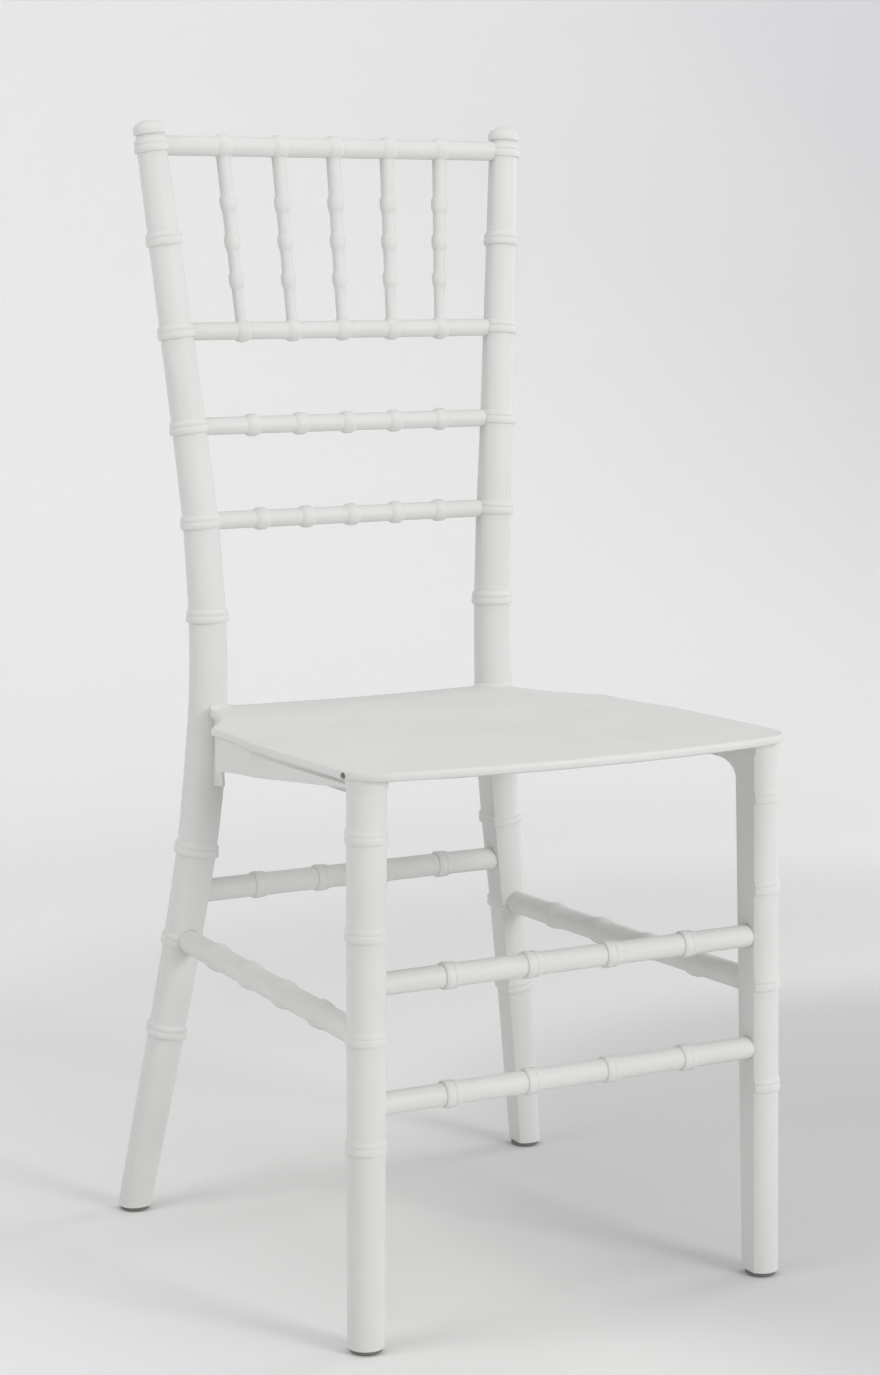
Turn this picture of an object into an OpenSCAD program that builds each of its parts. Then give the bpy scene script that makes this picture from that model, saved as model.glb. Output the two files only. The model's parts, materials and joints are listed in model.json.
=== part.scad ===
// Stacking banquet chair moulded to look like bamboo: two swept rear posts, turned rails,
// spindles and stretchers with node rings, and a moulded seat on two turned front legs.
// Millimetres, +Z up, front towards -Y, origin on the floor under the middle of the chair.

/* [Stance] */
// Height of the finial tops above the floor
overall_height = 922; // [890:1:950]
// Distance between the front leg axes at the floor
front_foot_spacing = 359; // [345:1:375]
// Distance between the rear leg axes at the floor
rear_foot_spacing = 391; // [380:1:405]
// Distance from the front leg axes to the rear leg axes at the floor
stance_depth = 399; // [380:1:420]
// Distance from the origin forward to the front leg axes at the floor
front_foot_y = 187; // [180:1:195]

/* [Rear posts] */
// Sideways splay of the rear legs below the waist, degrees
rear_leg_splay = 8.62; // [7.5:0.02:9.5]
// Sideways flare of the back posts above the waist, degrees
back_flare = 4.95; // [3.5:0.05:5.5]
// Height of the waist where splay turns into flare
splay_height = 445; // [420:1:460]
// Half length of the sideways bend
splay_bend = 166; // [100:1:180]
// Backward rake of the rear legs below the seat, degrees
rear_leg_rake = 7.14; // [5.5:0.02:7.5]
// Backward rake of the back posts above the seat, degrees
back_rake = 5.95; // [5:0.05:7.5]
// Height where the two rakes meet
rake_height = 422; // [410:1:465]
// Half length of the rake bend
rake_bend = 260; // [180:1:280]
// Post diameter under the finial
post_top_d = 24.8; // [23:0.1:27]
// Post diameter at the swell under the seat
post_swell_d = 33.6; // [32:0.1:35]
// Post diameter at the floor
post_foot_d = 26.8; // [26:0.1:29]
// Height of the swell
post_swell_height = 380; // [350:1:400]
// Share of the radius left on the flat inner side of the rear legs
leg_flat = 0.8; // [0.75:0.01:0.95]
// How square the rear leg section is below the seat, 0 is round
leg_squareness = 0.5; // [0:0.05:0.8]
// Diameter of the finial cap
finial_d = 27.6; // [26:0.1:30]
// Height of the finial cap
finial_height = 12; // [10:0.5:14]

/* [Node rings] */
// Distance between the node rings on posts and front legs
ring_pitch = 78.4; // [77:0.1:80]
// Height of a node ring on a post
post_ring_height = 12; // [10:0.5:14]
// How far a node ring stands out from a post
post_ring_proud = 2.3; // [1:0.1:3]
// Height of the lowest ring on the rear legs
rear_ring_height = 160.5; // [150:0.5:170]
// Height of the lowest ring on the front legs
front_ring_height = 158.5; // [150:0.5:165]
// Distance between the two lowest rings on a front leg
front_ring_pitch = 82.5; // [80:0.5:84]
// How much shorter each distance is than the one below it
front_ring_shortening = 4.7; // [0:0.1:6]
// How far a node ring stands out from a front leg
front_ring_proud = 1.5; // [1:0.1:2.5]
// Length of a node ring on the back rails
rail_ring_length = 13; // [10:0.5:14]
// Length of a node ring on spindles and stretchers
rod_ring_length = 14; // [10:0.5:16]
// How far a node ring stands out from a back rail
rail_ring_proud = 2.2; // [1:0.1:3]
// How far a node ring stands out from a spindle
spindle_ring_proud = 1.5; // [1:0.1:3]
// How far a node ring stands out from a stretcher
stretcher_ring_proud = 1.8; // [1:0.1:3]

/* [Back] */
// Distance from the finial tops down to the top rail's axis
top_rail_drop = 20; // [18:1:22]
// Distance from the finial tops down to the second ring
second_ring_drop = 96; // [90:1:98]
// Distance from the finial tops down to the spindle rail, which sets the rails below it
spindle_rail_drop = 172.4; // [170:0.2:175]
// Diameter of the top rail
top_rail_d = 16.6; // [15:0.1:18]
// Diameter of the other three back rails
back_rail_d = 14.8; // [13:0.1:16]
// Number of spindles, and of rings on each back rail
spindle_count = 5; // [3:2:5]
// Diameter of a spindle at its upper end
spindle_d = 12.2; // [9:0.1:13]
// Diameter of a spindle at its lower end
spindle_low_d = 8.8; // [8:0.1:12]
// How far the rings of a spindle sit below its middle
spindle_ring_shift = 2.5; // [0:0.5:4]
// Distance between the rings of one spindle
spindle_ring_pitch = 32; // [28:1:34]
// Room left beyond the ring pattern at the ends of a back rail
rail_end_room = 25; // [14:1:30]

/* [Seat] */
// Height of the seat's top at its front edge
seat_height = 442; // [436:0.5:446]
// Fall of the seat towards the back, degrees
seat_fall = 0.7; // [0.2:0.05:1.2]
// Overhang of the seat in front of the front leg axes
seat_front_overhang = 21; // [19:0.5:24]
// Extra bulge of the front edge at its middle
seat_front_bow = 22; // [14:1:26]
// Overhang of the seat outside the front leg axes
seat_side_overhang = 21; // [20:0.5:26]
// Straight length of each side behind the front leg axis
seat_side_straight = 154; // [130:1:165]
// How far the side then steps in towards the rear corner
seat_side_step = 8; // [6:0.5:10]
// How far the seat stands outside the post axes where its side turns in
seat_hip_out = 48.8; // [44:0.1:52]
// Distance from the post axes forward to where the side turns in
seat_hip_depth = 111; // [104:1:120]
// How far the neck that holds the post stands outside the post axis
neck_out = 20; // [17:0.5:24]
// Length of the side rail's slanting end, from its corner to the neck
neck_back = 42; // [36:1:54]
// How far the bracket at the post reaches below the side rail
bracket_drop = 20; // [12:0.5:22]
// Height of the collar where the seat rises round the post
collar_height = 8; // [5:0.5:9]
// Diameter of the small hole at each front corner
corner_hole_d = 5.25; // [5:0.25:6.5]
// How far the rear edge bows forward at its middle
rear_bow = 9; // [6:0.5:12]
// Radius of the front corners
seat_corner_r = 36; // [26:1:38]
// Thickness of the seat's rounded lip
lip_thickness = 7.2; // [5.5:0.1:7.5]
// Depth of the groove under the lip
groove_depth = 6; // [4:0.25:7]
// Height of the groove under the lip
groove_height = 2; // [1:0.25:3]
// Inset of the side rail's outer face from the lip
apron_inset = 3.5; // [2.5:0.25:4]
// Depth of the side rails at the front leg axes
apron_depth = 13; // [12:0.5:15]
// Depth of the bosses that take the front legs
boss_depth = 16.5; // [15.5:0.5:18]
// How far a boss flares beyond the leg at its top
boss_flare = 2.5; // [1.5:0.1:3]
// Fall of the side rails' lower edge against the floor, degrees
apron_fall = 6; // [5:0.1:6.5]
// Thickness of the seat panel between the side rails
panel_thickness = 5; // [4:0.25:6]
// Depth of the stiffening ribs under the panel
rib_depth = 8; // [5:0.5:10]
// Thickness of a stiffening rib
rib_thickness = 3; // [2:0.25:4]

/* [Front legs] */
// Front leg diameter at the seat
front_leg_top_d = 30.6; // [29:0.1:32]
// Front leg diameter at the floor
front_leg_foot_d = 28.4; // [27:0.1:29]
// Sideways splay of the front legs, degrees
front_leg_splay = 0.66; // [0:0.02:1.2]
// Forward rake of the front legs, degrees
front_leg_rake = 0.7; // [0:0.05:1.5]
// Distance from the leg axis to its flat inner side
front_leg_flat = 11.9; // [11.5:0.1:13.5]
// Width of the leg's square rear corner and of its fixing tongue
heel_width = 8.6; // [8:0.1:10]
// Depth of the square rear corner of the leg at the floor
heel_foot = 9; // [8:0.5:11]
// Depth of the square rear corner of the leg at the seat
heel_top = 15.5; // [15:0.5:20]
// Length of the fillet between the leg and its fixing tongue
fillet_length = 24; // [18:1:28]
// Height of that fillet
fillet_height = 14; // [12:1:20]
// Thickness of the fixing tongue where the fillet ends
tongue_thickness = 7; // [6.5:0.25:9]
// Length of the fixing tongue behind the fillet
tongue_length = 30; // [24:1:36]

/* [Stretchers] */
// Diameter of the two front stretchers
front_stretcher_d = 17.8; // [16:0.1:19]
// Diameter of the side and rear stretchers
stretcher_d = 19.6; // [17:0.1:20.5]
// Height of the upper front stretcher and of the rear stretcher
upper_stretcher_height = 279; // [274:1:284]
// Height of the side stretchers
side_stretcher_height = 239; // [236:1:242]
// Height of the lower front stretcher
lower_stretcher_height = 188; // [182:1:194]
// Distance between the rings of a front stretcher
front_stretcher_pitch = 71; // [64:1:74]
// Distance between the rings of a side stretcher
side_stretcher_pitch = 69; // [62:1:74]
// Distance between the rings of the rear stretcher
rear_stretcher_pitch = 59.5; // [54:0.5:62]

/* [Joints and feet] */
// Clearance round a rod in its socket
fit = 0.15; // [0.1:0.05:0.3]
// Clearance at the bottom of a socket
end_gap = 0.3; // [0.2:0.1:0.5]
// Diameter of the seat bolts' shanks
bolt_d = 6; // [5:0.5:6]
// Diameter of the seat bolts' heads
bolt_head_d = 10; // [9:0.5:11]
// Diameter of the tongue screws' shanks
screw_d = 4; // [3.5:0.25:4.5]
// Diameter of the tongue screws' heads
screw_head_d = 6; // [5.5:0.1:6.5]
// Diameter of the tenon on top of a front leg
tenon_d = 18; // [16:0.5:20]
// Diameter of a glide's disc
glide_d = 24.5; // [23:0.5:25]
// Thickness of a glide's disc
glide_thickness = 4; // [3:0.5:5]
// Diameter of a glide's stem
glide_stem_d = 8; // [6:0.5:9]
// Length of a glide's stem
glide_stem_length = 12; // [10:1:16]

/* [Hidden] */

top_rail_height = overall_height - top_rail_drop;
second_ring_height = overall_height - second_ring_drop;
spindle_rail_height = overall_height - spindle_rail_drop;

RESIN = [0.86, 0.87, 0.85];
GLIDE = [0.12, 0.12, 0.12];
STEEL = [0.72, 0.73, 0.75];
$fn = 48;

// Node rings as [place along it from -1 to 1, share of its height]: a double bead with a
// soft groove on posts, legs and stretchers, and a plain swelling on rails and spindles
RING = [[-1, 0], [-0.92, 0.7], [-0.72, 1], [-0.3, 1], [-0.05, 0.82],
    [0.08, 0.62], [0.2, 0.82], [0.42, 0.88], [0.75, 0.5], [1, 0]];
SWELLING = [[-1, 0], [-0.8, 0.45], [-0.5, 0.88], [-0.2, 1], [0.2, 1],
    [0.5, 0.88], [0.8, 0.45], [1, 0]];

// Two straight lines that fall to the same low point, joined by a parabola
function bent(z, low, z_low, below, above, half) =
    let (d = z - z_low, sum = tan(below) + tan(above))
    d <= -half ? low - d * tan(below) :
    d >= half ? low + d * tan(above) :
    low + sum / (4 * half) * d * d + (tan(above) - tan(below)) / 2 * d + sum * half / 4;

// Axis of the right-hand post at a height
waist_x = rear_foot_spacing / 2 - splay_height * tan(rear_leg_splay);
waist_y = stance_depth - front_foot_y - rake_height * tan(rear_leg_rake);
function post_x(z) = bent(z, waist_x, splay_height, rear_leg_splay, back_flare, splay_bend);
function post_y(z) = bent(z, waist_y, rake_height, rear_leg_rake, back_rake, rake_bend);
function post_at(z) = [post_x(z), post_y(z), z];
function unit(v) = v / norm(v);
function post_dir(z) = unit(post_at(z + 1) - post_at(z - 1));
function mix(a, b, t) = a + (b - a) * min(1, max(0, t));
function post_r(z) = 0.5 * (z > post_swell_height
    ? mix(post_swell_d, post_top_d, (z - post_swell_height) / (top_rail_height - post_swell_height))
    : mix(post_foot_d, post_swell_d, z / post_swell_height));

// Axis of the right-hand front leg at a height
function leg_x(z) = front_foot_spacing / 2 - z * tan(front_leg_splay);
function leg_y(z) = -front_foot_y + z * tan(front_leg_rake);
function leg_r(z) = mix(front_leg_foot_d, front_leg_top_d, z / seat_height) / 2;

// Heights of the rings
back_rings = concat([second_ring_height],
    [for (i = [0:3]) spindle_rail_height - i * ring_pitch]);
rear_rings = [for (i = [0:2]) rear_ring_height + i * ring_pitch];
front_rings = [for (i = [0:3])
    front_ring_height + i * front_ring_pitch - front_ring_shortening * i * (i - 1) / 2];
middle_rail_height = back_rings[2];
lower_rail_height = back_rings[3];

// Seat datum: the top plane and the lower edge of the side rails
leg_top = [leg_x(seat_height), leg_y(seat_height)];
post_mid = [post_x(seat_height), post_y(seat_height)];
seat_front = leg_top.y - seat_front_overhang - seat_front_bow;
function seat_top(y) = seat_height - (y - seat_front) * tan(seat_fall);
function apron_low(y) = seat_top(leg_top.y) - apron_depth - (y - leg_top.y) * tan(apron_fall);

module in_seat_plane() {
    translate([0, seat_front, seat_height]) rotate([-seat_fall, 0, 0])
        translate([0, -seat_front, 0]) children();
}
module in_apron_plane() {
    translate([0, leg_top.y, apron_low(leg_top.y)]) rotate([-apron_fall, 0, 0])
        translate([0, -leg_top.y, 0]) children();
}
module both_sides() {
    children();
    mirror([1, 0, 0]) children();
}

// A cylinder between two points
module rod(a, b, d) {
    v = b - a;
    translate(a) rotate([0, acos(v.z / norm(v)), atan2(v.y, v.x)]) rotate(60)
        cylinder(d = d, h = norm(v));
}

// A turned rod of diameter d between two points, with rings of a shape centred at the
// given places along it. A rod that ends in another diameter tapers between its sockets
socketed = 10;
module ringed_rod(a, b, d, places, length, proud, shape = RING, end_d = 0) {
    v = b - a;
    last_d = end_d > 0 ? end_d : d;
    function r(p) = mix(d, last_d, (p - socketed) / (norm(v) - 2 * socketed)) / 2;
    bends = end_d > 0 ? [socketed] : [];
    side = [for (p = places) for (s = shape)
        let (h = p + s[0] * length / 2) [r(h) + s[1] * proud, h]];
    translate(a) rotate([0, acos(v.z / norm(v)), atan2(v.y, v.x)]) rotate(90) rotate_extrude()
        polygon(concat([[0, 0], [d / 2, 0]], [for (p = bends) [r(p), p]], side,
            [for (p = bends) [r(norm(v) - p), norm(v) - p]],
            [[last_d / 2, norm(v)], [0, norm(v)]]));
}

// Places of n rings at a pitch, centred along a rod of a length
function centred(n, pitch, length) =
    [for (i = [0:n - 1]) length / 2 + (i - (n - 1) / 2) * pitch];

/* Rear posts */

// Levels of the post as [height, radius]
function ring_levels(z) = [for (s = RING)
    let (h = z + s[0] * post_ring_height / 2) [h, post_r(h) + s[1] * post_ring_proud]];
function plain_levels(heights) = [for (h = heights) [h, post_r(h)]];
cap_low = overall_height - finial_height;
finial = [[0, 0.80], [0.10, 0.97], [0.30, 1], [0.55, 0.97], [0.78, 0.85], [0.93, 0.62], [1, 0.36]];
post_levels = concat(
    plain_levels([glide_thickness, 40, 80, 120]),
    [for (z = rear_rings) each ring_levels(z)],
    plain_levels([for (d = [-97, -72, -47, -22, 3, 28, 48]) seat_height + d]),
    [for (i = [4:-1:0]) each ring_levels(back_rings[i])],
    plain_levels([(top_rail_height + second_ring_height) / 2]),
    ring_levels(top_rail_height),
    [for (s = finial) [cap_low + s[0] * finial_height, s[1] * finial_d / 2]]);
post_sides = 24;

// Point k of the section at a level: round above the seat, squarer and flat inside below it
function post_point(level, k) =
    let (z = level[0], r = level[1],
        below = 1 - min(1, max(0, (z - seat_height + 57) / 50)),
        n = 2 + leg_squareness * below,
        t = 360 * k / post_sides,
        s = r / pow(pow(abs(cos(t)), n) + pow(abs(sin(t)), n), 1 / n),
        u = max(s * cos(t), -mix(1, leg_flat, below) * r),
        v = s * sin(t),
        dir = post_dir(z),
        across = unit([1, 0, 0] - dir.x * dir),
        back = cross(dir, across))
    post_at(z) + across * u + back * v;
function to_height(p, dir, z) = p + dir * (z - p.z) / dir.z;

module post_skin() {
    rows = len(post_levels);
    points = [for (i = [0:rows - 1]) for (k = [0:post_sides - 1])
        let (p = post_point(post_levels[i], k))
        i == 0 ? to_height(p, post_dir(glide_thickness), glide_thickness) : p];
    faces = concat(
        [[for (k = [0:post_sides - 1]) k]],
        [for (i = [0:rows - 2]) for (k = [0:post_sides - 1])
            let (a = i * post_sides + k, b = i * post_sides + (k + 1) % post_sides)
            each [[a, a + post_sides, b], [b, a + post_sides, b + post_sides]]],
        [[for (k = [post_sides - 1:-1:0]) (rows - 1) * post_sides + k]]);
    polyhedron(points, faces);
}

// Blind socket for a rail that runs across the chair
module rail_socket(z, d) {
    rod([post_x(z), post_y(z), z], [post_x(z) - 40, post_y(z), z], d + 2 * fit);
}

module post() {
    difference() {
        post_skin();
        rail_socket(top_rail_height, top_rail_d);
        for (z = [spindle_rail_height, middle_rail_height, lower_rail_height])
            rail_socket(z, back_rail_d);
        rail_socket(upper_stretcher_height, stretcher_d);
        rod(side_rear, side_front, stretcher_d + 2 * fit);
        seat_bolt_places() rod([0, -30, 0], [0, bolt_reach + end_gap, 0], bolt_d + 2 * fit);
        glide_hole(post_at(glide_thickness));
    }
}
module post_left() {
    color(RESIN) mirror([1, 0, 0]) post();
}
module post_right() {
    color(RESIN) post();
}

/* Back rails and spindles */

function rail_pitch(z) = (2 * post_x(z) - rail_end_room) / (spindle_count + 1);
function spindle_end(i, z) =
    [(i - (spindle_count - 1) / 2) * rail_pitch(z), post_y(z), z];
spindle_seat = 4;

module back_rail(z, d) {
    half = post_x(z) - end_gap;
    ringed_rod([-half, post_y(z), z], [half, post_y(z), z], d,
        centred(spindle_count, rail_pitch(z), 2 * half), rail_ring_length, rail_ring_proud,
        SWELLING);
}
module spindle_sockets(z, toward, d) {
    for (i = [0:spindle_count - 1]) {
        a = spindle_end(i, z);
        dir = unit(spindle_end(i, toward) - a);
        rod(a + dir * spindle_seat, a + dir * 20, d + 2 * fit);
    }
}
module top_rail() {
    color(RESIN) difference() {
        back_rail(top_rail_height, top_rail_d);
        spindle_sockets(top_rail_height, spindle_rail_height, spindle_d);
    }
}
module spindle_rail() {
    color(RESIN) difference() {
        back_rail(spindle_rail_height, back_rail_d);
        spindle_sockets(spindle_rail_height, top_rail_height, spindle_low_d);
    }
}
module middle_rail() {
    color(RESIN) back_rail(middle_rail_height, back_rail_d);
}
module lower_rail() {
    color(RESIN) back_rail(lower_rail_height, back_rail_d);
}
module spindle(i) {
    low = spindle_end(i, spindle_rail_height);
    high = spindle_end(i, top_rail_height);
    dir = unit(high - low);
    a = low + dir * (spindle_seat + end_gap);
    b = high - dir * (spindle_seat + end_gap);
    places = [for (p = centred(3, spindle_ring_pitch, norm(b - a))) p - spindle_ring_shift];
    color(RESIN) ringed_rod(a, b, spindle_low_d, places, rod_ring_length, spindle_ring_proud,
        SWELLING, spindle_d);
}
module spindle_1() spindle(0);
module spindle_2() spindle(1);
module spindle_3() spindle(2);
module spindle_4() spindle(3);
module spindle_5() spindle(4);

/* Seat */

// Points of an arc of radius r that rounds the corner at b between a and c
function rounded(a, b, c, r, n) =
    let (u = unit(a - b), v = unit(c - b), half = acos(u * v) / 2,
        centre = b + unit(u + v) * r / sin(half),
        from = b + u * r / tan(half) - centre,
        to = b + v * r / tan(half) - centre,
        a0 = atan2(from.y, from.x),
        turn = (atan2(to.y, to.x) - a0 + 540) % 360 - 180)
    [for (i = [0:n]) centre + r * [cos(a0 + turn * i / n), sin(a0 + turn * i / n)]];

// Right half of the seat's plan outline, from the middle of the front to the middle of the
// rear: bowed front, round corner, straight side, hip and rear corner at the post
corner = [leg_top.x + seat_side_overhang, leg_top.y - seat_front_overhang];
shoulder = [corner.x, leg_top.y + seat_side_straight];
hip = [post_mid.x + seat_hip_out, post_mid.y - seat_hip_depth];
knee = [shoulder.x - seat_side_step, shoulder.y + 48];
neck = [post_mid.x + neck_out, hip.y + neck_back];
cheek = [post_mid.x + 7, post_mid.y - 19];
heel = [post_mid.x - 7, post_mid.y];
rear_mid = [0, post_mid.y - rear_bow];
bow_r = (corner.x * corner.x + seat_front_bow * seat_front_bow) / (2 * seat_front_bow);
bow_end = corner.x - seat_corner_r * 1.1;
function bow(x) = [x, seat_front + bow_r - sqrt(bow_r * bow_r - x * x)];
half_outline = concat(
    [for (i = [0:6]) bow(i * bow_end / 7)],
    rounded(bow(bow_end), corner, shoulder, seat_corner_r, 8),
    rounded(corner, shoulder, knee, 200, 3),
    rounded(shoulder, knee, hip, 200, 3),
    rounded(knee, hip, neck, 5, 5),
    rounded(hip, neck, cheek, 12, 4),
    [cheek, heel],
    [for (t = [0.84, 0.7, 0.5, 0.3]) rear_mid + [t * heel.x, pow(t, 1.4) * rear_bow]],
    [rear_mid]);
last = len(half_outline) - 1;
outline = concat(half_outline, [for (i = [last - 1:-1:1]) [-half_outline[i].x, half_outline[i].y]]);
count = len(outline);
function inward(i) =
    let (d = unit(outline[(i + 1) % count] - outline[(i + count - 1) % count])) [-d.y, d.x];
function inset(i, d) = outline[i] + inward(i) * d;
// The groove dies out along the sides, before the rear corners
function groove_share(i) = mix(0, 1, (knee.y + 8 - outline[i].y) / 36);

// Side of the seat from the top down as [inset, drop]: rounded lip, groove, side rail
lip = [[2.4, 0], [0.7, 0.7], [0, 2.4], [0, 4.4], [0.7, 6.2], [2.2, lip_thickness],
    [groove_depth, lip_thickness + 0.3], [groove_depth, lip_thickness + 0.3 + groove_height],
    [apron_inset, lip_thickness + 1.3 + groove_height]];

module seat_skin() {
    rows = len(lip) + 1;
    points = [for (j = [0:rows - 1]) for (i = [0:count - 1])
        let (s = groove_share(i), d = j < len(lip) ? lip[j][0] : apron_inset,
            p = inset(i, j == 6 || j == 7 ? mix(apron_inset - 0.2, d, s) : d))
        [p.x, p.y, j < len(lip) ? seat_top(p.y) - lip[j][1] : apron_low(p.y)]];
    faces = concat(
        [[for (i = [count - 1:-1:0]) i]],
        [for (j = [0:rows - 2]) for (i = [0:count - 1])
            let (a = j * count + i, b = j * count + (i + 1) % count)
            each [[a, b, a + count], [b, b + count, a + count]]],
        [[for (i = [0:count - 1]) (rows - 1) * count + i]]);
    polyhedron(points, faces);
}

rail_in = leg_top.x - front_leg_flat;
pocket_half = [[0, seat_front + 18], [rail_in, seat_front + 18], [rail_in, shoulder.y],
    [hip.x - 27, hip.y], [post_mid.x - 26, post_mid.y - 45], [post_mid.x - 26, rear_mid.y - 12],
    [0, rear_mid.y - 12]];
pocket = concat(pocket_half, [for (i = [len(pocket_half) - 2:-1:1])
    [-pocket_half[i].x, pocket_half[i].y]]);
web = 5;
channel = [[rail_in + web, leg_top.y + 62], [corner.x - apron_inset - web, leg_top.y + 62],
    [corner.x - apron_inset - web, shoulder.y], [hip.x - apron_inset - web, hip.y - 4],
    [hip.x - 27 + web, hip.y - 4], [rail_in + web, shoulder.y]];

module under_pocket(shape, drop) {
    in_seat_plane() translate([0, 0, -drop - 60]) linear_extrude(60) polygon(shape);
}
module ribs() {
    deep = panel_thickness + rib_depth;
    reach = rear_mid.y - 11 - seat_front - 60;
    in_seat_plane() {
        for (x = [-100, -50, 0, 50, 100])
            translate([x - rib_thickness / 2, seat_front + 60, -deep])
                cube([rib_thickness, reach, rib_depth + 1]);
        for (i = [1:4])
            translate([-rail_in + 30, seat_front + 60 + i * reach / 5, -deep])
                cube([2 * rail_in - 60, rib_thickness, rib_depth + 1]);
    }
}

boss_low = seat_top(leg_top.y) - boss_depth;
// Underside of the leg's fixing tongue, and the end of the fillet that leads to it
heel_end = heel_top + fillet_length;
tongue_low = apron_low(leg_top.y + heel_end) - tongue_thickness;

// Places of the two seat bolts at the right-hand post; each child points backwards along Y
bolt_x = post_mid.x - 6;
bolt_face = post_mid.y - 40;
bolt_reach = 49;
bolt_heights = [apron_low(bolt_face) + 11, apron_low(bolt_face) + 26];
module seat_bolt_places() {
    for (z = bolt_heights) translate([bolt_x, bolt_face, z]) children();
}
module tongue_screw_place() {
    translate([rail_in + heel_width / 2, leg_top.y + heel_end + tongue_length * 0.4, tongue_low])
        children();
}
tenon_height = 8;
screw_length = 16;
screw_head_sink = 3.2;

module seat() {
    color(RESIN) difference() {
        seat_body();
        both_sides() corner_hole();
    }
}
// Small hole in the lip at a front corner
module corner_hole() {
    translate([corner.x - 1, leg_top.y, seat_top(leg_top.y) - 3.9])
        rotate([0, -90, -28]) rotate(20) translate([0, 0, -6]) cylinder(d = corner_hole_d, h = 17);
}
module seat_body() {
    union() {
        difference() {
            union() {
                seat_skin();
                both_sides() post_collar();
                both_sides() post_bracket();
            }
            in_seat_plane() translate([-300, seat_front - 50, -80])
                cube([600, leg_top.y - 2 - seat_front + 50, 80 - lip_thickness - 0.5]);
            under_pocket(pocket, panel_thickness);
            both_sides() under_pocket(channel, panel_thickness);
            both_sides() seat_corner_cuts();
        }
        both_sides() leg_boss();
        ribs();
    }
}
// Concave rise of the seat round the post
module post_collar() {
    low = seat_top(post_mid.y) - 1;
    r = post_r(seat_height) + end_gap;
    rise = [for (i = [0:5]) let (t = 90 * i / 5)
        [r + collar_height * (1 - sin(t)), 1 + collar_height * (1 - cos(t))]];
    intersection() {
        translate([post_x(low), post_y(low), low]) rotate(100) rotate_extrude()
            polygon(concat([[0, -2], [rise[0].x, -2]], rise, [[0, 1 + collar_height]]));
        translate([0, 0, low - 5]) linear_extrude(30) polygon([[post_mid.x - 40, post_mid.y - 5.4],
            [post_mid.x - 40, neck.y + 8], [neck.x - 6, neck.y + 8], cheek + [-0.5, 0],
            cheek + [-8, 14], [post_mid.x - 20, post_mid.y - 1.6]]);
    }
}
// Bracket that reaches below the side rail in front of the post
module post_bracket() {
    in_apron_plane() translate([0, 0, -bracket_drop]) linear_extrude(bracket_drop + 6)
        polygon([[post_mid.x - 1, post_mid.y - 26], [post_mid.x + 1, post_mid.y - 26],
            [post_mid.x + 2.5, post_mid.y - 24], [post_mid.x + 2.5, post_mid.y - 10],
            [post_mid.x - 1, post_mid.y - 10]]);
}
module seat_corner_cuts() {
    // notch round the post
    rod(post_at(seat_height - 82), post_at(seat_height + 38),
        2 * post_r(seat_height - 42) + 2 * end_gap);
    // pocket for the bolt heads and the holes behind it
    translate([bolt_x - 8, bolt_face - 18, apron_low(bolt_face) - 20])
        cube([16, 18, 20 + bolt_heights[1] - apron_low(bolt_face) + bolt_head_d / 2 + 4]);
    seat_bolt_places() rod([0, -5, 0], [0, 60, 0], bolt_d + 2 * fit);
    // socket for the leg's tenon and pilot hole for the tongue screw
    translate([leg_top.x, leg_top.y, boss_low - 1])
        cylinder(d = tenon_d + 2 * fit, h = 1 + tenon_height + end_gap);
    tongue_screw_place() cylinder(d = screw_d + 2 * fit, h = screw_length + screw_head_sink);
}
// Boss that takes a front leg: flared and round outside, flat inside, square rear corner
module leg_boss() {
    flat_at = -front_leg_flat + 0.4;
    translate([leg_top.x, leg_top.y, boss_low]) difference() {
        union() {
            cylinder(r1 = front_leg_top_d / 2 + 0.3, r2 = front_leg_top_d / 2 + boss_flare,
                h = boss_depth - 3);
            translate([flat_at, 0, 0]) cube([heel_width, heel_top, boss_depth - 3]);
        }
        translate([flat_at - 20, -30, -1]) cube([20, 60, boss_depth]);
        translate([0, 0, -1]) cylinder(d = tenon_d + 2 * fit, h = 1 + tenon_height + end_gap);
    }
}

/* Front legs */

module leg_frame() {
    translate([front_foot_spacing / 2, -front_foot_y, 0])
        rotate([-front_leg_rake, -front_leg_splay, 0]) children();
}
leg_height = seat_height - 2;
function lean(p) = [p.x, p.y + p.x * tan(front_leg_rake)];
heel_side = concat(
    [[0, 0], [heel_foot, 0]],
    [for (i = [0:8]) let (t = 180 - 90 * i / 8)
        lean([heel_end + fillet_length * cos(t), tongue_low - fillet_height * (1 - sin(t))])],
    [lean([heel_end + tongue_length, tongue_low]), [heel_end + tongue_length, leg_height],
        [0, leg_height]]);

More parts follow.
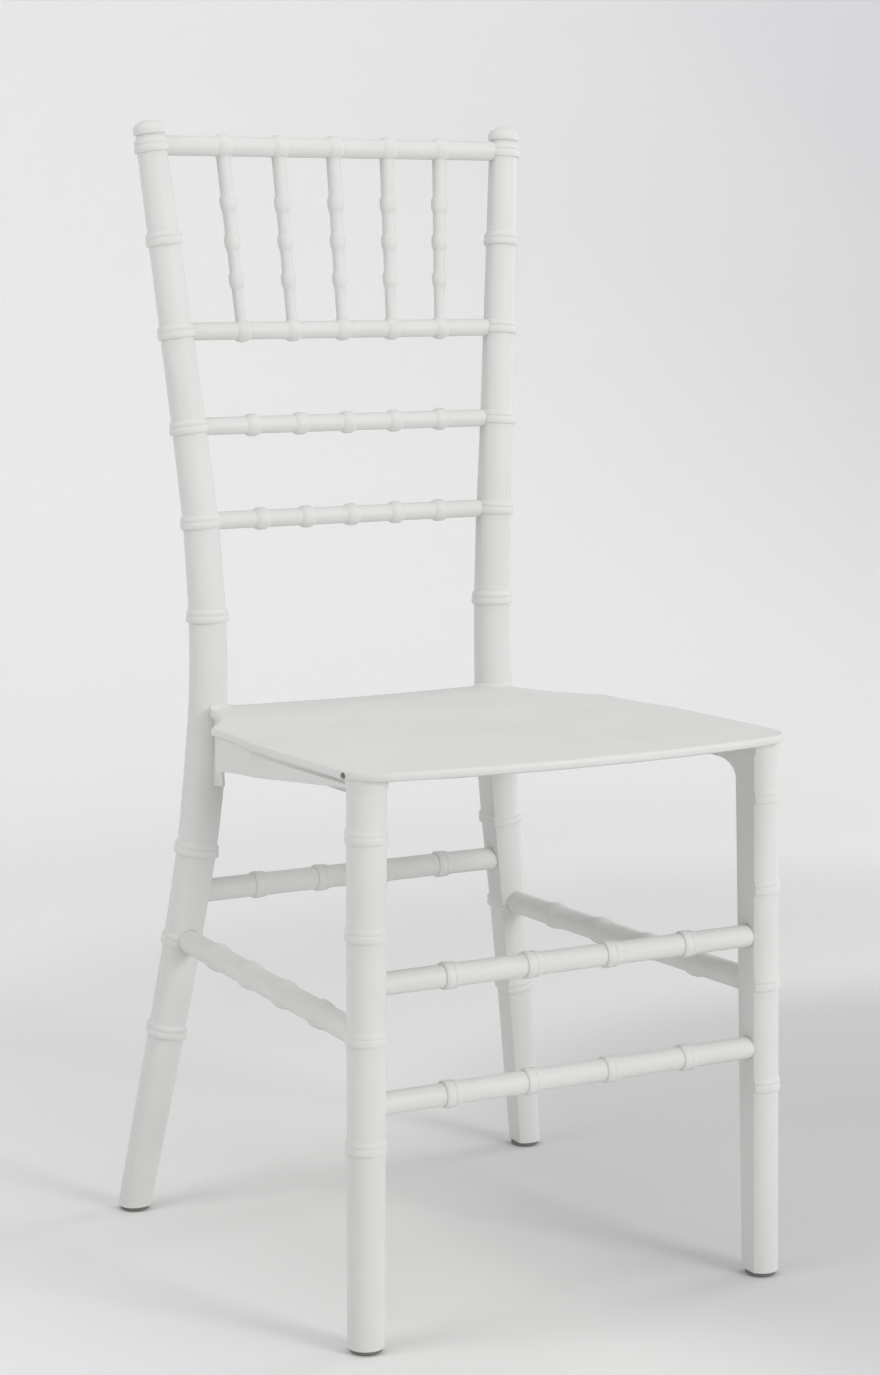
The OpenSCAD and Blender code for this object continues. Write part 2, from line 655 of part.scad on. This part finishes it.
module leg_blank() {
    side = [for (z = front_rings) for (s = RING)
        let (h = z + s[0] * post_ring_height / 2) [leg_r(h) + s[1] * front_ring_proud, h]];
    difference() {
        leg_frame() difference() {
            union() {
                rotate_extrude() polygon(concat([[0, 0], [leg_r(0), 0]], side,
                    [[leg_r(leg_height), leg_height], [0, leg_height]]));
                translate([-front_leg_flat, 0, 0]) rotate([90, 0, 90])
                    linear_extrude(heel_width) polygon(heel_side);
            }
            translate([-front_leg_flat - 20, -40, -10]) cube([20, 140, leg_height + 20]);
        }
        in_apron_plane() translate([-300, -300, 0]) cube([600, 600, 80]);
        translate([leg_top.x - 50, leg_top.y - 50, boss_low])
            cube([100, 50 + heel_top + end_gap, 80]);
        translate([0, -300, -50]) cube([300, 300, 50 + glide_thickness]);
    }
}
module front_leg() {
    difference() {
        union() {
            leg_blank();
            translate([leg_top.x, leg_top.y, boss_low - 5]) cylinder(d = tenon_d, h = 5 + tenon_height);
        }
        for (z = [upper_stretcher_height, lower_stretcher_height])
            rod([leg_x(z) - 1, leg_y(z), z], [leg_x(z) - 40, leg_y(z), z],
                front_stretcher_d + 2 * fit);
        rod(side_front, side_rear, stretcher_d + 2 * fit);
        glide_hole([leg_x(glide_thickness), leg_y(glide_thickness), glide_thickness]);
        tongue_screw_place() {
            translate([0, 0, -5]) cylinder(d = screw_d + 2 * fit, h = 30);
            translate([0, 0, -5]) cylinder(d = screw_head_d + 4 * fit, h = 5 + screw_head_sink);
        }
    }
}
module front_leg_left() {
    color(RESIN) mirror([1, 0, 0]) front_leg();
}
module front_leg_right() {
    color(RESIN) front_leg();
}

/* Stretchers */

side_a = post_at(side_stretcher_height);
side_b = [leg_x(side_stretcher_height), leg_y(side_stretcher_height), side_stretcher_height];
side_dir = unit(side_b - side_a);
// Bottoms of the sockets at the two ends of the right-hand side stretcher
side_rear = side_a + side_dir * 4;
side_front = side_b - side_dir * 4;

module cross_stretcher(half, y, z, d, pitch) {
    ringed_rod([-half, y, z], [half, y, z], d, centred(4, pitch, 2 * half),
        rod_ring_length, stretcher_ring_proud);
}
module front_stretcher(z) {
    color(RESIN) cross_stretcher(leg_x(z) - 1 - end_gap, leg_y(z), z, front_stretcher_d,
        front_stretcher_pitch);
}
module front_stretcher_upper() front_stretcher(upper_stretcher_height);
module front_stretcher_lower() front_stretcher(lower_stretcher_height);
module rear_stretcher() {
    z = upper_stretcher_height;
    color(RESIN) cross_stretcher(post_x(z) - end_gap, post_y(z), z, stretcher_d,
        rear_stretcher_pitch);
}
module side_stretcher() {
    a = side_rear + side_dir * end_gap;
    b = side_front - side_dir * end_gap;
    color(RESIN) ringed_rod(a, b, stretcher_d, centred(4, side_stretcher_pitch, norm(b - a)),
        rod_ring_length, stretcher_ring_proud);
}
module side_stretcher_left() mirror([1, 0, 0]) side_stretcher();
module side_stretcher_right() side_stretcher();

/* Feet and fixings */

module glide_hole(at) {
    translate([at.x, at.y, at.z - 1])
        cylinder(d = glide_stem_d + 2 * fit, h = 1 + glide_stem_length + end_gap);
}
module glide(at) {
    r = glide_d / 2;
    color(GLIDE) translate([at.x, at.y, 0]) rotate_extrude() polygon([[0, 0], [r - 1.2, 0],
        [r, 1.2], [r, glide_thickness], [glide_stem_d / 2, glide_thickness],
        [glide_stem_d / 2, glide_thickness + glide_stem_length],
        [0, glide_thickness + glide_stem_length]]);
}
module front_glide() glide([leg_x(glide_thickness), leg_y(glide_thickness)]);
module rear_glide() glide(post_at(glide_thickness));
module glide_front_left() mirror([1, 0, 0]) front_glide();
module glide_front_right() front_glide();
module glide_rear_left() mirror([1, 0, 0]) rear_glide();
module glide_rear_right() rear_glide();

module seat_bolts() {
    color(STEEL) both_sides() seat_bolt_places() rotate([-90, 0, 0]) {
        difference() {
            translate([0, 0, -6]) cylinder(d = bolt_head_d, h = 6);
            translate([0, 0, -7]) cylinder(d = 5.8, h = 4, $fn = 6);
        }
        cylinder(d = bolt_d, h = bolt_reach);
    }
}
module tongue_screws() {
    color(STEEL) both_sides() tongue_screw_place() translate([0, 0, screw_head_sink - end_gap]) {
        translate([0, 0, -2.6]) cylinder(d = screw_head_d, h = 2.6);
        cylinder(d = screw_d, h = screw_length);
    }
}

post_left();
post_right();
top_rail();
spindle_rail();
middle_rail();
lower_rail();
spindle_1();
spindle_2();
spindle_3();
spindle_4();
spindle_5();
seat();
front_leg_left();
front_leg_right();
front_stretcher_upper();
front_stretcher_lower();
side_stretcher_left();
side_stretcher_right();
rear_stretcher();
glide_front_left();
glide_front_right();
glide_rear_left();
glide_rear_right();
seat_bolts();
tongue_screws();
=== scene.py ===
# Bamboo-look banquet chair: finishes, smooth pieces, stage, light and camera round the
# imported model. Everything is in metres, in the same frame as the model.
import json
import math

import bpy
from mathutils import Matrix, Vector


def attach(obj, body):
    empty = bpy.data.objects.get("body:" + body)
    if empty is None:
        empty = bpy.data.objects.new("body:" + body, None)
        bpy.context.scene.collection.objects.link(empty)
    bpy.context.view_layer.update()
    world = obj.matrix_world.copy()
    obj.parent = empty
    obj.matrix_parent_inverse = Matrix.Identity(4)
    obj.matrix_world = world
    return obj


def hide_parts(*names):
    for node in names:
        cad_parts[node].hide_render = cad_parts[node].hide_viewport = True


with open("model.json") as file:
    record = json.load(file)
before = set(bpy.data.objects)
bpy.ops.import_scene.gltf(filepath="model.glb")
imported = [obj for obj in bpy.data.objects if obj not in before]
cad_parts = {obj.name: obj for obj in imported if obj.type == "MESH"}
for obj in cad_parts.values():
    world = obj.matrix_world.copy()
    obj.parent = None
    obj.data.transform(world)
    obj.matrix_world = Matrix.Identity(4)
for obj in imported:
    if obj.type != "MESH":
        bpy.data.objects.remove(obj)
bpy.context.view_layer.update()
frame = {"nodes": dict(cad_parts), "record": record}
print("model loaded:", len(frame["nodes"]), "nodes")


# sRGB hex to linear
def hexColour(text):
    values = [int(text[i:i + 2], 16) / 255 for i in (1, 3, 5)]
    return [v / 12.92 if v <= 0.04045 else ((v + 0.055) / 1.055) ** 2.4 for v in values] + [1.0]


# Adds a node of any kind, with its settings, its input values and its links from sockets
def addNode(tree, kind, settings=None, inputs=None, links=None):
    node = tree.nodes.new(kind)
    for name, value in (settings or {}).items():
        setattr(node, name, value)
    for name, value in (inputs or {}).items():
        node.inputs[name].default_value = value
    for name, source in (links or {}).items():
        tree.links.new(source, node.inputs[name])
    return node


# The place of the colour among a Mix node's outputs
mixedColour = 2


def newMaterial(name):
    material = bpy.data.materials.new(name)
    material.use_nodes = True
    tree = material.node_tree
    tree.nodes.clear()
    return material, tree


# Injection-moulded polypropylene, pigmented off-white: satin, with a spark-eroded grain of
# about 0.6 mm, faint flow clouding, and a sheen that varies with the clouding. Sizes,
# heights and depths in the three finishes are in millimetres
resinLook = {
    "colour": "#DFDFDD",
    "cloudColour": "#DCDCD9",
    "cloudSize": 90,
    "cloudDetail": 3.0,
    "cloudRoughness": 0.5,
    "cloudFrom": (0.42, 0.7),
    "grainSize": 0.6,
    "grainDetail": 2.0,
    "grainRoughness": 0.6,
    "grainStrength": 0.25,
    "grainHeight": 0.03,
    "roughLow": 0.42,
    "roughHigh": 0.56,
    "ior": 1.49,
    "specular": 0.35,
}


def makeResin(look):
    material, tree = newMaterial("mouldedPolypropyleneOffWhite")
    place = addNode(tree, "ShaderNodeTexCoord")
    cloud = addNode(tree, "ShaderNodeTexNoise", inputs={
        "Scale": 1000 / look["cloudSize"], "Detail": look["cloudDetail"],
        "Roughness": look["cloudRoughness"]}, links={"Vector": place.outputs["Object"]})
    cloudShare = addNode(tree, "ShaderNodeMapRange", inputs={
        "From Min": look["cloudFrom"][0], "From Max": look["cloudFrom"][1]},
        links={"Value": cloud.outputs["Fac"]})
    colour = addNode(tree, "ShaderNodeMix", {"data_type": "RGBA"},
                     links={"Factor": cloudShare.outputs["Result"]})
    colour.inputs["A"].default_value = hexColour(look["colour"])
    colour.inputs["B"].default_value = hexColour(look["cloudColour"])
    grain = addNode(tree, "ShaderNodeTexNoise", inputs={
        "Scale": 1000 / look["grainSize"] / 2, "Detail": look["grainDetail"],
        "Roughness": look["grainRoughness"]}, links={"Vector": place.outputs["Object"]})
    rough = addNode(tree, "ShaderNodeMapRange", inputs={
        "To Min": look["roughLow"], "To Max": look["roughHigh"]},
        links={"Value": cloud.outputs["Fac"]})
    bump = addNode(tree, "ShaderNodeBump", inputs={
        "Strength": look["grainStrength"], "Distance": look["grainHeight"] / 1000},
        links={"Height": grain.outputs["Fac"]})
    shader = addNode(tree, "ShaderNodeBsdfPrincipled", inputs={
        "IOR": look["ior"], "Specular IOR Level": look["specular"]}, links={
        "Roughness": rough.outputs["Result"], "Normal": bump.outputs["Normal"]})
    tree.links.new(colour.outputs[mixedColour], shader.inputs["Base Color"])
    addNode(tree, "ShaderNodeOutputMaterial", links={"Surface": shader.outputs["BSDF"]})
    return material


# Injection-moulded nylon, grey and slightly shiny, scuffed paler underneath by floors
glideLook = {
    "colour": "#727370",
    "scuffColour": "#8E8E8A",
    "scuffSize": 6,
    "scuffDetail": 4.0,
    "scuffRoughness": 0.6,
    "scuffHeight": 2.5,
    "scuffStrength": 0.3,
    "scuffDepth": 0.05,
    "roughLow": 0.42,
    "roughHigh": 0.62,
    "ior": 1.53,
}


def makeGlide(look):
    material, tree = newMaterial("mouldedNylonGrey")
    place = addNode(tree, "ShaderNodeTexCoord")
    parts = addNode(tree, "ShaderNodeSeparateXYZ", links={"Vector": place.outputs["Object"]})
    patch = addNode(tree, "ShaderNodeTexNoise", inputs={
        "Scale": 1000 / look["scuffSize"], "Detail": look["scuffDetail"],
        "Roughness": look["scuffRoughness"]}, links={"Vector": place.outputs["Object"]})
    low = addNode(tree, "ShaderNodeMapRange", inputs={
        "From Min": 0.0, "From Max": look["scuffHeight"] / 1000, "To Min": 1.0, "To Max": 0.0},
        links={"Value": parts.outputs["Z"]})
    scuff = addNode(tree, "ShaderNodeMath", {"operation": "MULTIPLY"})
    tree.links.new(low.outputs["Result"], scuff.inputs[0])
    tree.links.new(patch.outputs["Fac"], scuff.inputs[1])
    colour = addNode(tree, "ShaderNodeMix", {"data_type": "RGBA"},
                     links={"Factor": scuff.outputs["Value"]})
    colour.inputs["A"].default_value = hexColour(look["colour"])
    colour.inputs["B"].default_value = hexColour(look["scuffColour"])
    rough = addNode(tree, "ShaderNodeMapRange", inputs={
        "To Min": look["roughLow"], "To Max": look["roughHigh"]},
        links={"Value": patch.outputs["Fac"]})
    bump = addNode(tree, "ShaderNodeBump", inputs={
        "Strength": look["scuffStrength"], "Distance": look["scuffDepth"] / 1000},
        links={"Height": patch.outputs["Fac"]})
    shader = addNode(tree, "ShaderNodeBsdfPrincipled", inputs={"IOR": look["ior"]}, links={
        "Roughness": rough.outputs["Result"], "Normal": bump.outputs["Normal"]})
    tree.links.new(colour.outputs[mixedColour], shader.inputs["Base Color"])
    addNode(tree, "ShaderNodeOutputMaterial", links={"Surface": shader.outputs["BSDF"]})
    return material


# Zinc-plated steel, turned and cold-headed: bright and bluish, dulled in fine blotches
steelLook = {
    "colour": "#B9BCC0",
    "dullColour": "#9A9C9E",
    "blotchSize": 3,
    "blotchDetail": 3.0,
    "blotchRoughness": 0.55,
    "roughLow": 0.24,
    "roughHigh": 0.42,
}


def makeSteel(look):
    material, tree = newMaterial("zincPlatedSteel")
    place = addNode(tree, "ShaderNodeTexCoord")
    blotch = addNode(tree, "ShaderNodeTexNoise", inputs={
        "Scale": 1000 / look["blotchSize"], "Detail": look["blotchDetail"],
        "Roughness": look["blotchRoughness"]}, links={"Vector": place.outputs["Object"]})
    colour = addNode(tree, "ShaderNodeMix", {"data_type": "RGBA"},
                     links={"Factor": blotch.outputs["Fac"]})
    colour.inputs["A"].default_value = hexColour(look["colour"])
    colour.inputs["B"].default_value = hexColour(look["dullColour"])
    rough = addNode(tree, "ShaderNodeMapRange", inputs={
        "To Min": look["roughLow"], "To Max": look["roughHigh"]},
        links={"Value": blotch.outputs["Fac"]})
    shader = addNode(tree, "ShaderNodeBsdfPrincipled", inputs={"Metallic": 1.0}, links={
        "Roughness": rough.outputs["Result"]})
    tree.links.new(colour.outputs[mixedColour], shader.inputs["Base Color"])
    addNode(tree, "ShaderNodeOutputMaterial", links={"Surface": shader.outputs["BSDF"]})
    return material


finishes = {
    "resin": makeResin(resinLook),
    "glide": makeGlide(glideLook),
    "steel": makeSteel(steelLook),
}
print("finishes made:", ", ".join(finishes))

# Smooth copies of the nodes, with the hard edges of the seat and front legs slightly
# rounded, and their normals weighted by face area so that the flat panels stay flat
smoothing = {
    "mergeDistance": 0.00001,
    "sharpAngle": 32,
    "softEdges": {"seat": 0.0007, "front_leg_left": 0.0006, "front_leg_right": 0.0006},
    "edgeSteps": 2,
    "panelWeight": 60,
}

# The seat's collar meets each post without a gap: its upper rim is drawn in a little and
# lowered, so that it ends just inside the post
collarFit = {
    "posts": ("post_left", "post_right"),
    "axisBand": (0.435, 0.46),
    "rimLow": 0.4446,
    "rimReach": 0.0172,
    "drawIn": 0.93,
    "foot": 0.4372,
    "reach": 0.0232,
    "height": 0.4,
}


def closeCollars(piece, values):
    for postName in values["posts"]:
        low, high = values["axisBand"]
        ring = [v.co for v in frame["nodes"][postName].data.vertices if low < v.co.z < high]
        axis = sum(ring, Vector()) / len(ring)
        bpy.ops.object.mode_set(mode="EDIT")
        bpy.ops.mesh.select_mode(type="VERT")
        bpy.ops.mesh.select_all(action="DESELECT")
        bpy.ops.object.mode_set(mode="OBJECT")
        for vertex in piece.data.vertices:
            reach = (vertex.co - axis).to_2d().length
            vertex.select = vertex.co.z > values["rimLow"] and reach < values["rimReach"]
        bpy.ops.object.mode_set(mode="EDIT")
        bpy.ops.transform.resize(value=(values["drawIn"], values["drawIn"], 1),
                                 center_override=axis)
        bpy.ops.mesh.select_all(action="DESELECT")
        bpy.ops.object.mode_set(mode="OBJECT")
        for vertex in piece.data.vertices:
            reach = (vertex.co - axis).to_2d().length
            vertex.select = vertex.co.z > values["foot"] and reach < values["reach"]
        bpy.ops.object.mode_set(mode="EDIT")
        bpy.ops.transform.resize(value=(1, 1, values["height"]),
                                 center_override=(axis.x, axis.y, values["foot"]))
        bpy.ops.object.mode_set(mode="OBJECT")


# The groove between the seat's lip and its side rails is a shallow moulded line: its bottom
# is drawn out to this share of its depth behind the rail's face
grooveFit = {
    "frontTop": (-0.2246, 0.442),
    "fall": 0.7,
    "lipDrop": (0.0038, 0.005),
    "grooveDrop": (0.00735, 0.00965),
    "railInset": 0.0033,
    "deepest": 0.0075,
    "share": 0.35,
}


def shallowGroove(piece, values):
    frontY, frontZ = values["frontTop"]
    slope = math.tan(math.radians(values["fall"]))

    def between(vertex, limits):
        drop = frontZ - (vertex.co.y - frontY) * slope - vertex.co.z
        return limits[0] < drop < limits[1]

    vertices = piece.data.vertices
    edge = [v.co.to_2d() for v in vertices if between(v, values["lipDrop"])]
    moved = 0
    for vertex in vertices:
        if between(vertex, values["grooveDrop"]):
            place = vertex.co.to_2d()
            nearest = min(edge, key=lambda point: (point - place).length)
            inset = (place - nearest).length
            if values["railInset"] < inset < values["deepest"]:
                kept = values["railInset"] + (inset - values["railInset"]) * values["share"]
                place = nearest + (place - nearest) * kept / inset
                vertex.co.x, vertex.co.y = place
                moved += 1
    print("groove points drawn out:", moved)


def smoothCopy(nodeName, values):
    piece = bpy.data.objects.new(nodeName + "_moulded", frame["nodes"][nodeName].data.copy())
    bpy.context.scene.collection.objects.link(piece)
    bpy.ops.object.select_all(action="DESELECT")
    piece.select_set(True)
    bpy.context.view_layer.objects.active = piece
    bpy.ops.mesh.customdata_custom_splitnormals_clear()
    bpy.ops.object.mode_set(mode="EDIT")
    bpy.ops.mesh.select_all(action="SELECT")
    bpy.ops.mesh.remove_doubles(threshold=values["mergeDistance"])
    bpy.ops.mesh.mark_sharp(clear=True)
    bpy.ops.object.mode_set(mode="OBJECT")
    if nodeName == "seat":
        closeCollars(piece, collarFit)
        shallowGroove(piece, grooveFit)
    if nodeName in values["softEdges"]:
        bevel = piece.modifiers.new("softEdges", "BEVEL")
        bevel.width = values["softEdges"][nodeName]
        bevel.segments = values["edgeSteps"]
        bevel.limit_method = "ANGLE"
        bevel.angle_limit = math.radians(values["sharpAngle"])
        bpy.ops.object.modifier_apply(modifier="softEdges")
    bpy.ops.object.shade_smooth_by_angle(angle=math.radians(values["sharpAngle"]))
    if nodeName in values["softEdges"]:
        weighted = piece.modifiers.new("flatPanels", "WEIGHTED_NORMAL")
        weighted.mode = "FACE_AREA"
        weighted.weight = values["panelWeight"]
        weighted.keep_sharp = True
        bpy.ops.object.modifier_apply(modifier="flatPanels")
    return piece


slots = {part["node"]: part["material_slot"] for part in frame["record"]["subparts"]}
for nodeName in sorted(frame["nodes"]):
    piece = smoothCopy(nodeName, smoothing)
    piece.data.materials.clear()
    piece.data.materials.append(finishes[slots[nodeName]])
    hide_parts(nodeName)
    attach(piece, "root")
print("pieces made:", len(slots))

# Pale studio floor that sweeps up into the backdrop, which is clear from behind, so that
# the chair can be seen from all sides
stageSizes = {
    "halfWidth": 8.0,
    "front": -9.0,
    "back": 3.2,
    "edgeBand": 0.01,
    "sweep": 1.6,
    "top": 4.5,
    "steps": 16,
}
# Tones by distance from the middle, as shares of the reach: the paper's colour with painted
# shade, darker round the chair and to its right and reaching further to the front, and the light
# that is added to it for the camera only
stageLook = {
    "middle": (0.64, -0.02, 0),
    "reach": 5.0,
    "frontShare": 0.35,
    # painted shade: the darkest tones lie round the chair, about a middle set to its right
    "paperAndPaintedShade": ((0.04, "#D0D0D0"), (0.09, "#D3D3D3"), (0.14, "#E9E9E8"), (0.22, "#E9E9E9"),
              (0.29, "#F4F4F4"), (0.42, "#FBFBFB"), (0.66, "#FDFDFD"), (0.84, "#F2F2F4")),
    "paler": ((0.18, "#000000"), (0.26, "#3B3B3B"), (0.38, "#474747"), (0.52, "#4E4E4E"),
              (0.68, "#464646"), (0.76, "#5B5B5D"), (0.82, "#646469"), (0.9, "#666669"),
              (1.0, "#848486")),
    "roughness": 0.9,
    "specular": 0.1,
}


def makeStage(sizes, look):
    bpy.ops.object.select_all(action="DESELECT")
    bpy.ops.mesh.primitive_plane_add(size=1, location=(0, 0, 0))
    floor = bpy.context.object
    floor.name = "studioSweep"
    depth = sizes["back"] - sizes["front"]
    floor.scale = (2 * sizes["halfWidth"], depth, 1)
    floor.location = (0, (sizes["back"] + sizes["front"]) / 2, 0)
    bpy.ops.object.transform_apply(location=True, rotation=True, scale=True)
    bpy.ops.object.mode_set(mode="EDIT")
    bpy.ops.mesh.select_mode(type="EDGE")
    bpy.ops.mesh.select_all(action="DESELECT")
    bpy.ops.object.mode_set(mode="OBJECT")
    for edge in floor.data.edges:
        middle = sum((floor.data.vertices[v].co for v in edge.vertices), Vector()) / 2
        edge.select = middle.y > sizes["back"] - sizes["edgeBand"]
    bpy.ops.object.mode_set(mode="EDIT")
    bpy.ops.mesh.extrude_region_move(TRANSFORM_OT_translate={"value": (0, 0, sizes["top"])})
    bpy.ops.mesh.select_all(action="DESELECT")
    bpy.ops.object.mode_set(mode="OBJECT")
    for edge in floor.data.edges:
        ends = [floor.data.vertices[v].co for v in edge.vertices]
        edge.select = all(end.y > sizes["back"] - sizes["edgeBand"]
                          and end.z < sizes["edgeBand"] for end in ends)
    bpy.ops.object.mode_set(mode="EDIT")
    bpy.ops.mesh.bevel(offset=sizes["sweep"], segments=sizes["steps"], affect="EDGES")
    bpy.ops.object.mode_set(mode="OBJECT")
    bpy.ops.object.shade_smooth()
    material, tree = newMaterial("mattePaperBackdropPaintedShade")
    place = addNode(tree, "ShaderNodeTexCoord")
    offset = addNode(tree, "ShaderNodeVectorMath", {"operation": "SUBTRACT"})
    tree.links.new(place.outputs["Object"], offset.inputs[0])
    offset.inputs[1].default_value = look["middle"]
    parts = addNode(tree, "ShaderNodeSeparateXYZ", links={"Vector": offset.outputs["Vector"]})
    nearer = addNode(tree, "ShaderNodeMath", {"operation": "MULTIPLY"})
    tree.links.new(parts.outputs["Y"], nearer.inputs[0])
    nearer.inputs[1].default_value = look["frontShare"]
    depthShare = addNode(tree, "ShaderNodeMath", {"operation": "MAXIMUM"})
    tree.links.new(parts.outputs["Y"], depthShare.inputs[0])
    tree.links.new(nearer.outputs["Value"], depthShare.inputs[1])
    point = addNode(tree, "ShaderNodeCombineXYZ", links={
        "X": parts.outputs["X"], "Y": depthShare.outputs["Value"], "Z": parts.outputs["Z"]})
    distance = addNode(tree, "ShaderNodeVectorMath", {"operation": "LENGTH"})
    tree.links.new(point.outputs["Vector"], distance.inputs[0])
    share = addNode(tree, "ShaderNodeMapRange", inputs={"From Max": look["reach"]},
                    links={"Value": distance.outputs["Value"]})
    # The first ramp paints shade into the floor's base colour, round the chair and to its right
    ramps = {}
    for key in ("paperAndPaintedShade", "paler"):
        ramps[key] = addNode(tree, "ShaderNodeValToRGB", links={"Fac": share.outputs["Result"]})
        ramps[key].color_ramp.interpolation = "EASE"
        stops = ramps[key].color_ramp.elements
        while len(stops) < len(look[key]):
            stops.new(0.5)
        for stop, (at, tone) in zip(stops, look[key]):
            stop.position = at
            stop.color = hexColour(tone)
    path = addNode(tree, "ShaderNodeLightPath")
    shader = addNode(tree, "ShaderNodeBsdfPrincipled", inputs={
        "Roughness": look["roughness"], "Specular IOR Level": look["specular"]},
        links={"Base Color": ramps["paperAndPaintedShade"].outputs["Color"],
               "Emission Color": ramps["paler"].outputs["Color"],
               "Emission Strength": path.outputs["Is Camera Ray"]})
    side = addNode(tree, "ShaderNodeNewGeometry")
    clear = addNode(tree, "ShaderNodeBsdfTransparent")
    seen = addNode(tree, "ShaderNodeMixShader", links={"Fac": side.outputs["Backfacing"]})
    tree.links.new(shader.outputs["BSDF"], seen.inputs[1])
    tree.links.new(clear.outputs["BSDF"], seen.inputs[2])
    addNode(tree, "ShaderNodeOutputMaterial", links={"Surface": seen.outputs["Shader"]})
    floor.data.materials.append(material)


makeStage(stageSizes, stageLook)
print("stage made")

# Plain studio light, placed from the shadows of the legs on the floor: a key in front on the
# right, a weaker lamp on the left, two wide fills on the right and a top bank
lights = {
    "key": {"at": (1.2, -3.0, 1.42), "size": 1.0, "power": 40.4},
    "left": {"at": (-1.9, -0.13, 1.65), "size": 1.15, "power": 11.6},
    "right": {"at": (2.8, 0.2, 1.5), "size": 1.2, "power": 16},
    "rightFront": {"at": (2.6, -2.6, 1.6), "size": 1.2, "power": 6.2},
    "top": {"at": (0.0, -0.2, 2.8), "size": 2.0, "power": 12.4},
}
aim = Vector((0, 0, 0.45))
# Even light from all round, and the pale grey that the camera sees past the floor's edges
worldLook = {"colour": "#FFFFFF", "strength": 0.45, "seenStrength": 0.66}


def makeLight(name, values):
    bpy.ops.object.light_add(type="AREA", location=values["at"])
    lamp = bpy.context.object
    lamp.name = name + "Light"
    lamp.data.size = values["size"]
    lamp.data.energy = values["power"]
    lamp.visible_camera = False
    lamp.rotation_euler = (aim - Vector(values["at"])).to_track_quat("-Z", "Y").to_euler()


def makeWorld(look):
    world = bpy.data.worlds.new("studioWorld")
    bpy.context.scene.world = world
    world.use_nodes = True
    tree = world.node_tree
    tree.nodes.clear()
    ambient = addNode(tree, "ShaderNodeBackground", inputs={
        "Color": hexColour(look["colour"]), "Strength": look["strength"]})
    behind = addNode(tree, "ShaderNodeBackground", inputs={
        "Color": hexColour(look["colour"]), "Strength": look["seenStrength"]})
    path = addNode(tree, "ShaderNodeLightPath")
    seen = addNode(tree, "ShaderNodeMixShader", links={"Fac": path.outputs["Is Camera Ray"]})
    tree.links.new(ambient.outputs["Background"], seen.inputs[1])
    tree.links.new(behind.outputs["Background"], seen.inputs[2])
    addNode(tree, "ShaderNodeOutputWorld", links={"Surface": seen.outputs["Shader"]})


for name, values in lights.items():
    makeLight(name, values)
makeWorld(worldLook)
print("light made")

# Camera solved from the photograph's feet, rings, post tops and seat corners
cameraValues = {
    "at": (-1.1846, -2.1080, 0.8184),
    "azimuth": -29.0725,
    "pitch": 8.0388,
    "lens": 78.996,
    "sensor": 36,
    "shift": (0.0004, -0.0099),
    "clipEnd": 50,
}
bpy.ops.object.camera_add(
    location=cameraValues["at"],
    rotation=(math.radians(90 - cameraValues["pitch"]), 0, math.radians(cameraValues["azimuth"])))
camera = bpy.context.object
camera.name = "photoCamera"
camera.data.sensor_fit = "VERTICAL"
camera.data.sensor_height = cameraValues["sensor"]
camera.data.lens = cameraValues["lens"]
camera.data.shift_x = cameraValues["shift"][0]
camera.data.shift_y = cameraValues["shift"][1]
camera.data.clip_end = cameraValues["clipEnd"]
bpy.context.scene.camera = camera
bpy.context.scene.view_settings.view_transform = "Standard"
print("camera set")
